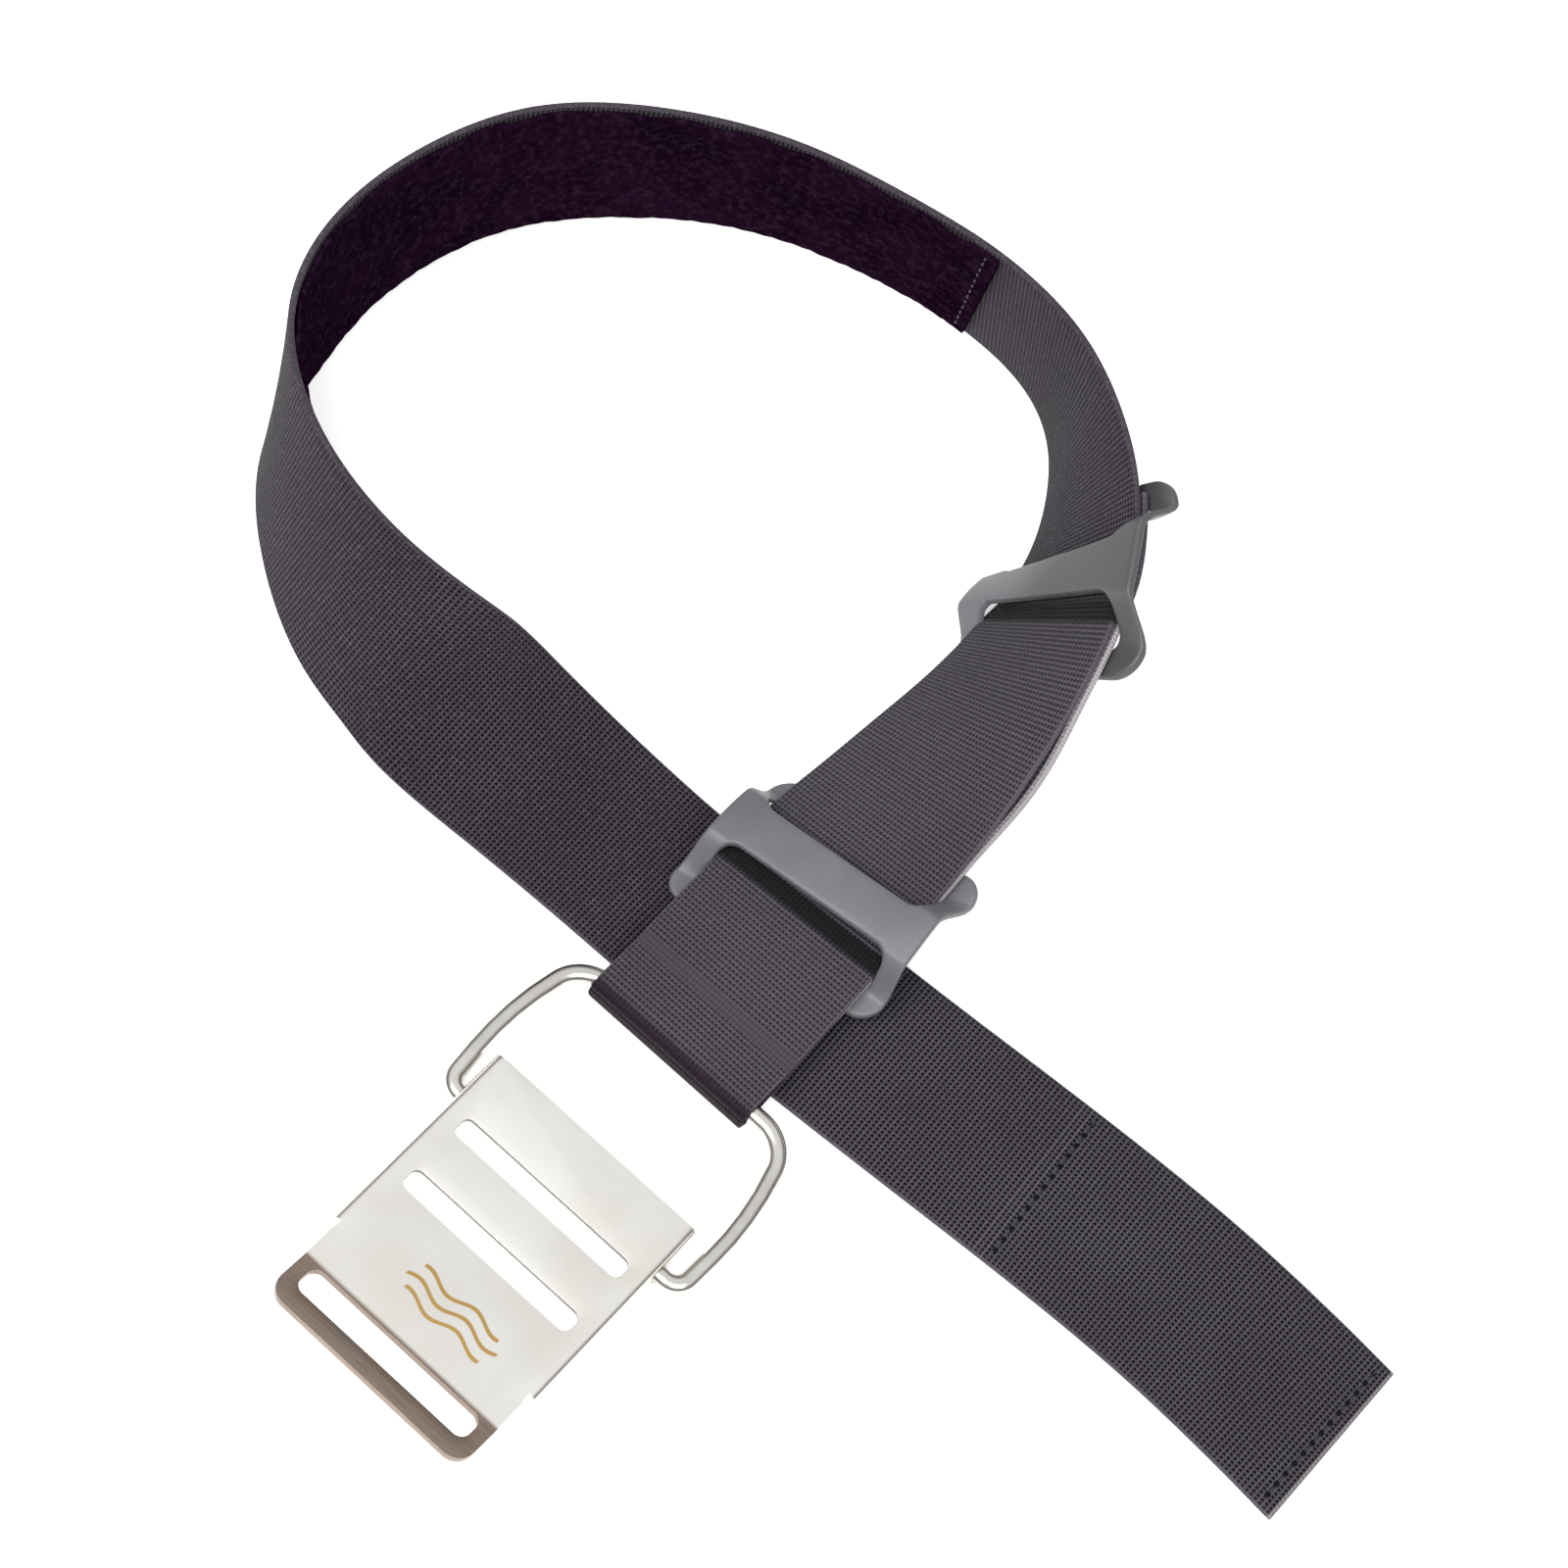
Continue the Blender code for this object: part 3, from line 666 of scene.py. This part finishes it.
slide_finish, slide_shader, grain = new_material("matte_acetal", 0.42)
slide_shader.inputs["Specular IOR Level"].default_value = 0.55
moulded = noise(grain, 45.0, 3.0).step(0.3, 0.7)
# Painted shade: the acetal gets a lighter copy of its colour below 20 mm and a darker copy above 34 mm, so
# the rear slide, standing on the loop, darkens towards its top.
slide_shaded_tone = object_coordinates(grain).axes()[2].step(0.020, 0.034).colour(
    moulded.colour((0.110, 0.107, 0.117), (0.135, 0.131, 0.142)),
    moulded.colour((0.066, 0.064, 0.068), (0.082, 0.080, 0.085)),
)
set_input(slide_shader, "Base Color", slide_shaded_tone)
set_input(slide_shader, "Roughness", noise(grain, 90.0, 2.0) * 0.18 + 0.36)
set_bump(slide_shader, grain, noise(grain, 1400.0, 2.0), 0.00005)


def ramp(t):
    """0 below 0 and 1 above 1, smooth between."""
    t = min(1.0, max(0.0, t))
    return t * t * (3 - 2 * t)


def mould_slide(name, middle, skew, wide, body, node):
    """The flat frame, arched over the webbing and laid along the strap so that it takes its twist.

    It is centred at middle along the strap and turned by skew, and its right rail stands out by wide.
    """
    slot_depth = (SLIDE_LENGTH - SLIDE_MIDDLE_BAR) / 2 - SLIDE_OUTER_BAR
    slot_centre = SLIDE_MIDDLE_BAR / 2 + slot_depth / 2
    w, h, corner = SLIDE_WIDTH / 2, SLIDE_LENGTH / 2, SLIDE_CORNER
    waist = w - SLIDE_WAIST
    outline = rounded_outline(
        [(-w, -h, corner), (w, -h, corner), (waist, -h / 3, 14), (waist, h / 3, 14)]
        + [(w, h, corner), (-w, h, corner), (-waist, h / 3, 14), (-waist, -h / 3, 14)]
    )
    slots = [rounded_rectangle(0, side * slot_centre, SLIDE_SLOT_WIDTH, slot_depth, 4.5) for side in (-1, 1)]
    cuts_x = [-28 + 4 * k for k in range(15)]
    cuts_y = [-22.5 + 1.5 * k for k in range(31)]
    bm = flat_blank([outline] + slots, SLIDE_THICK, 0.75, cuts_x, cuts_y)
    over = WEB_THICK / 2 + SLIDE_OVER + SLIDE_THICK
    under = -(WEB_THICK / 2 + RETURN_DROP + SLIDE_UNDER)
    for vert in bm.verts:
        u, v, depth = vert.co
        out = min(1.0, max(0.0, (abs(v) - SLIDE_MIDDLE_BAR / 2) / slot_depth))
        bow = 0.5 + 0.5 * math.cos(math.pi * out)
        if u > 0:
            v += 1.3 * wide * ramp((u - 18) / 12) * ramp((-v - 9) / 10)
            u += wide * ramp((u - 20) / 11)
        else:
            u -= 0.4 * wide * ramp((-u - 26) / 4)
            u += 0.9 * wide * ramp((-u - 20) / 4) * ramp((28 + u) / 3) * ramp((14 - abs(v)) / 5)
        centre, along, side, inward = strap_frame(middle + v - u * math.tan(skew * (1 - 0.5 * bow)))
        crown = SLIDE_CROWN * max(0.0, 1 - (v / (SLIDE_MIDDLE_BAR / 2)) ** 2)
        vert.co = place(*(centre + side * u + inward * (under + (over - under) * bow + depth + crown)))
    made = new_object(name, bm, sharp=50)
    made.data.materials.append(slide_finish)
    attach(made, body)
    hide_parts(node)


mould_slide("slide_near_bail", FRONT_SLIDE_AT, math.radians(6), 0.0, "front_slide", "front_slide")
mould_slide("slide_up_loop", REAR_SLIDE_AT + 1.0, math.radians(4), 2.4, "rear_slide", "rear_slide")

# ---------------------------------------------------------------------------------------------
# The bail: a bow of polished 5 mm stainless wire. Its bar lies in the webbing's fold and its two
# ends turn inwards through the holes in the buckle's flanges.

PIVOT_Y = -12.5
BAIL_X = 0.8
WIRE_RADIUS = 2.5
WIRE_SIDES = 28
BAIL_SHIFT = -1.2
bail_right = [(27.0, PIVOT_Y, 0), (37.2, PIVOT_Y, 4.4), (38.9, 12.0, 85), (33.4, BAR_Y, 10.5)]
bail_left = [(-33.4, BAR_Y, 10.5), (-38.9, 12.0, 85), (-37.2, PIVOT_Y, 4.4), (-27.0, PIVOT_Y, 0)]
bail_line = [
    Vector((point.x + BAIL_SHIFT * (point.y - PIVOT_Y) / (BAR_Y - PIVOT_Y), point.y))
    for point in rounded_outline(bail_right + bail_left, 5.0)
]
bail_last = len(bail_line) - 1
bm = bmesh.new()
rings = []
for k, point in enumerate(bail_line):
    before = bail_line[max(k - 1, 0)]
    after = bail_line[min(k + 1, bail_last)]
    out = Vector((after.y - before.y, before.x - after.x)).normalized()
    # Both ends are rounded off by two smaller rings that stand a little further out.
    bows = {0: (0.6, 0.9, 1.0), bail_last: (1.0, 0.9, 0.6)}.get(k, (1.0,))
    for bow in bows:
        beyond = (after - before).normalized() * (1 - bow) * (-1.2 if k == 0 else 1.2)
        radius = WIRE_RADIUS * bow
        ring = []
        for turn in range(WIRE_SIDES):
            angle = 2 * math.pi * turn / WIRE_SIDES
            spot = point + out * radius * math.cos(angle) + beyond
            ring.append(bm.verts.new(place(spot.x + BAIL_X, spot.y, BAR_Z + radius * math.sin(angle))))
        rings.append(ring)
for ring, after in zip(rings, rings[1:]):
    for k in range(WIRE_SIDES):
        following = (k + 1) % WIRE_SIDES
        bm.faces.new((ring[k], ring[following], after[following], after[k]))
bm.faces.new(rings[0])
bm.faces.new(rings[-1])
bail = new_object("bail_wire", bm, sharp=60)
wire_finish, wire_shader, wire = new_material("polished_wire", 0.12, 1.0)
wire_tone = noise(wire, 60.0, 3.0).step(0.3, 0.7).colour((0.56, 0.545, 0.51), (0.68, 0.665, 0.63))
set_input(wire_shader, "Base Color", wire_tone)
set_input(wire_shader, "Roughness", noise(wire, 500.0, 3.0) * 0.1 + 0.14)
bail.data.materials.append(wire_finish)
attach(bail, "bail")
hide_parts("wire_bail")

# ---------------------------------------------------------------------------------------------
# The cam buckle: one pressing of satin 2 mm stainless sheet. Its long edges are bent down as
# flanges over the bail's ends, its far lip is bent up, and three slots take the webbing.

PLATE_WIDTH = 64.0
PLATE_LENGTH = 80.5
PLATE_THICK = 2.0
PLATE_TOP = 10.2
PLATE_BEND = 2.4
FLANGE_LENGTH = 56.0
FLANGE_FOOT = 0.3
LIP_START = 66.0
LIP_BEND = 9.0
LIP_ANGLE = math.radians(15)
LIP_HALF_WIDTH = 30.0
SLOTS = ((19.5, 5.6), (37.2, 5.9), (71.6, 7.6))
SLOT_LENGTH = 52.5
HOLE_RADIUS = 2.8
HOLE_SIDES = 32
fold_x = PLATE_WIDTH / 2 - PLATE_BEND
arc = PLATE_BEND * math.pi / 2
blank_x = fold_x + arc + PLATE_TOP - PLATE_BEND - FLANGE_FOOT
hole_x = fold_x + arc + PLATE_TOP - PLATE_BEND - BAR_Z


def bend_plate(x, y, h):
    """Where a point of the flat blank goes once the flanges are bent down and the lip is bent up."""
    past = abs(x) - fold_x
    z = PLATE_TOP + h
    if past > 0 and y > -FLANGE_LENGTH - 0.3:
        angle = min(past, arc) / PLATE_BEND
        x = math.copysign(fold_x + (PLATE_BEND + h) * math.sin(angle), x)
        z = PLATE_TOP - PLATE_BEND + (PLATE_BEND + h) * math.cos(angle) - max(0.0, past - arc)
    past_lip = -y - LIP_START
    if past_lip > 0:
        angle = min(past_lip / LIP_BEND, LIP_ANGLE)
        beyond = past_lip - angle * LIP_BEND
        y = -LIP_START - (LIP_BEND - h) * math.sin(angle) - beyond * math.cos(angle)
        z = PLATE_TOP + LIP_BEND - (LIP_BEND - h) * math.cos(angle) + beyond * math.sin(angle)
    return x, y, z


plate_half = [
    (blank_x, 0, 2.5),
    (blank_x, -FLANGE_LENGTH, 2.5),
    (fold_x, -FLANGE_LENGTH, 0),
    (fold_x, -FLANGE_LENGTH - 1.5, 0),
    (LIP_HALF_WIDTH, -FLANGE_LENGTH - 3.0, 0),
    (LIP_HALF_WIDTH, -PLATE_LENGTH, 5.0),
]
plate_outline = rounded_outline(plate_half[::-1] + [(-x, y, radius) for x, y, radius in plate_half])
plate_slots = [rounded_rectangle(0, -y, SLOT_LENGTH, width, 0.36 * width) for y, width in SLOTS]
hole_turns = [2 * math.pi * k / HOLE_SIDES for k in range(HOLE_SIDES)]
hole_round = [HOLE_RADIUS * Vector((math.cos(turn), math.sin(turn))) for turn in hole_turns]
pivot_holes = [[Vector((side * hole_x, PIVOT_Y)) + point for point in hole_round] for side in (-1, 1)]
bends = [side * (fold_x + arc * k / 8) for side in (-1, 1) for k in range(9)]
lips = [-LIP_START - LIP_BEND * LIP_ANGLE * k / 4 for k in range(5)]
bm = flat_blank([plate_outline] + plate_slots + pivot_holes, PLATE_THICK, 0.4, bends, lips)
for vert in bm.verts:
    vert.co = place(*bend_plate(*vert.co))
plate = new_object("buckle_plate", bm, sharp=40)
steel_finish, steel_shader, steel = new_material("satin_steel", 0.3, 1.0)
steel_spot = object_coordinates(steel)
spot_x, spot_y, spot_z = steel_spot.axes()
stretched = steel.node("ShaderNodeMapping", {}, {"Vector": steel_spot, "Scale": (1.0, 22.0, 1.0)})
brushing = noise(steel, 120.0, 4.0, 0.6, stretched)
smudges = noise(steel, 35.0, 3.0)
sheet_tone = smudges.step(0.3, 0.7).colour((0.72, 0.70, 0.645), (0.80, 0.785, 0.755))
# Painted reflection: the upturned lip is coloured dark brown, standing for dark surroundings mirrored in it.
lip_reflection_tone = brushing.step(0.2, 0.8).colour((0.22, 0.17, 0.14), (0.30, 0.24, 0.20))
lip_line = place(0, -LIP_START - 0.9, 0).y
on_lip = spot_y.step(lip_line + 0.0006, lip_line - 0.0006)
sheet_tone = on_lip.colour(sheet_tone, lip_reflection_tone)
# Painted shade: the sheet's cut edges on its flat top part, round the slots and at its ends, are coloured
# dark grey.
edge_top = place(0, 0, PLATE_TOP).z
rim_shade = spot_z.step(edge_top - 0.00025, edge_top - 0.0006) * spot_z.step(edge_top - 0.00199, edge_top - 0.0018)
rim_shade = rim_shade * abs(spot_x - place(0, 0, 0).x).step(0.0297, 0.0292) * (1.0 - on_lip)
sheet_tone = rim_shade.colour(sheet_tone, (0.20, 0.195, 0.19))

# Three wavy lines, printed in gold towards the lip.
MARK_WAVE = 14.5
MARK_SWELL = 1.05
MARK_ROWS = ((3.4, 12.5), (0.0, 14.5), (-3.4, 12.5))
mark_middle = place(4.0, -54.5, 0)
mark_x = (spot_x - mark_middle.x) / MM
mark_y = (spot_y - mark_middle.y) / MM
mark_turn = mark_x * (2 * math.pi / MARK_WAVE)
swell = mark_turn.math("SINE", mark_turn) * MARK_SWELL
lines = [
    abs(mark_y - row - swell).step(0.62, 0.38) * abs(mark_x).step(length, length - 0.5)
    for row, length in MARK_ROWS
]
mark = lines[0].largest(lines[1]).largest(lines[2])
mark = mark * spot_z.step(place(0, 0, 9.9).z, place(0, 0, 10.0).z)
set_input(steel_shader, "Base Color", mark.colour(sheet_tone, (0.46, 0.30, 0.10)))
set_input(steel_shader, "Roughness", brushing * 0.06 + 0.22 + mark * 0.2)
set_bump(steel_shader, steel, brushing, 0.00002)
plate.data.materials.append(steel_finish)
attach(plate, "buckle")
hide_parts("cam_buckle")

# ---------------------------------------------------------------------------------------------
# The stage: a plain white floor under soft studio light, seen from above and a little to the right
# of the buckle, with the camera rolled.

FLOOR_GLOW = 0.42
KEY_POWER = 26
FILL_POWER = 14
LENS = 76.6
CAMERA_DISTANCE = 0.852
AIM_X, AIM_Y = -31.44, 108.61
azimuth, elevation, roll = math.radians(20.4), math.radians(62.34), math.radians(22.64)

bm = bmesh.new()
bmesh.ops.create_grid(bm, x_segments=1, y_segments=1, size=30.0)
floor = new_object("floor", bm)
floor.location = (0, 0, -0.0004)
floor_finish, floor_shader, ground = new_material("white_floor", 0.9)
floor_shader.inputs["Base Color"].default_value = (0.97, 0.97, 0.97, 1)
floor_shader.inputs["Specular IOR Level"].default_value = 0.0
floor_shader.inputs["Emission Color"].default_value = (1, 1, 1, 1)
floor_shader.inputs["Emission Strength"].default_value = FLOOR_GLOW
floor.data.materials.append(floor_finish)

world = bpy.data.worlds.new("studio")
world.use_nodes = True
sky = Value(world.node_tree, None)
overhead = sky.node("ShaderNodeTexCoord", {}, {}, output=0).axes()[2]
background = world.node_tree.nodes["Background"]
set_input(background, "Color", overhead.step(0.35, 0.8).colour((0.30, 0.28, 0.27), (1, 1, 1)))
background.inputs["Strength"].default_value = 1.0
bpy.context.scene.world = world
bpy.context.scene.view_settings.view_transform = "Standard"


def add_light(name, stands_at, size, power):
    """A square soft box, turned to the middle of the belt."""
    data = bpy.data.lights.new(name, "AREA")
    data.shape = "SQUARE"
    data.size = size
    data.energy = power
    made = bpy.data.objects.new(name, data)
    made.location = stands_at
    made.rotation_euler = (-Vector(stands_at)).to_track_quat("-Z", "Y").to_euler()
    bpy.context.scene.collection.objects.link(made)


add_light("key", (-0.35, -1.0, 1.7), 1.1, KEY_POWER)
add_light("fill", (0.9, -0.8, 1.6), 1.2, FILL_POWER)

back = Vector(
    (math.sin(azimuth) * math.cos(elevation), -math.cos(azimuth) * math.cos(elevation), math.sin(elevation))
)
right = Vector((math.cos(azimuth), math.sin(azimuth), 0))
up = back.cross(right)
right_rolled = math.cos(roll) * right + math.sin(roll) * up
up_rolled = math.cos(roll) * up - math.sin(roll) * right
camera_data = bpy.data.cameras.new("camera")
camera_data.lens = LENS
camera_data.sensor_width = 36.0
camera = bpy.data.objects.new("camera", camera_data)
turn = Matrix((right_rolled, up_rolled, back)).transposed().to_4x4()
camera.matrix_world = Matrix.Translation(place(AIM_X, AIM_Y, 0) + back * CAMERA_DISTANCE) @ turn
bpy.context.scene.collection.objects.link(camera)
bpy.context.scene.camera = camera
